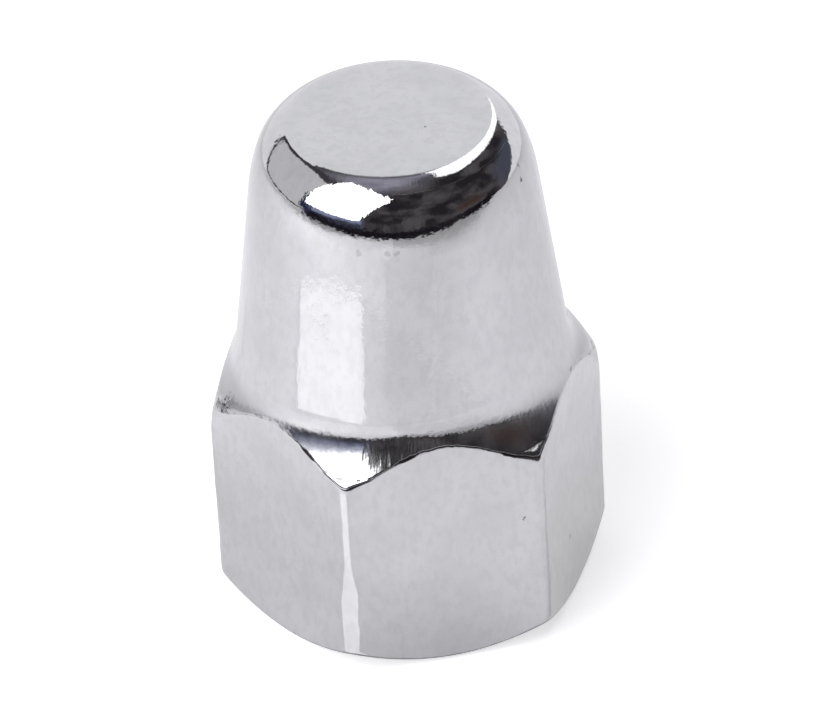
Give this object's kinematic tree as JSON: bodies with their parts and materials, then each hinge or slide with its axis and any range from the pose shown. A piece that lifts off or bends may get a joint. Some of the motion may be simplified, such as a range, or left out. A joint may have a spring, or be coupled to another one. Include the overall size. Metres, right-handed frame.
{
  "type": "cap nut",
  "caption": "Tall closed-end hexagon nut in polished steel: coned shoulder, tapering crown with a flat rounded end, and a blind threaded hole in the seating face.",
  "frame": {"origin": "centre of the flat seating face, on the axis of the thread", "axes": "+Z along the axis, from the seating face towards the closed end of the crown; two of the flats face +Y and -Y"},
  "size_m": [0.0218, 0.019, 0.0295],
  "materials": {
    "polished_steel": "polished to a mirror, with fine turning marks"
  },
  "bodies": {
    "root": {"cap_nut": "polished_steel"}
  },
  "joints": []
}
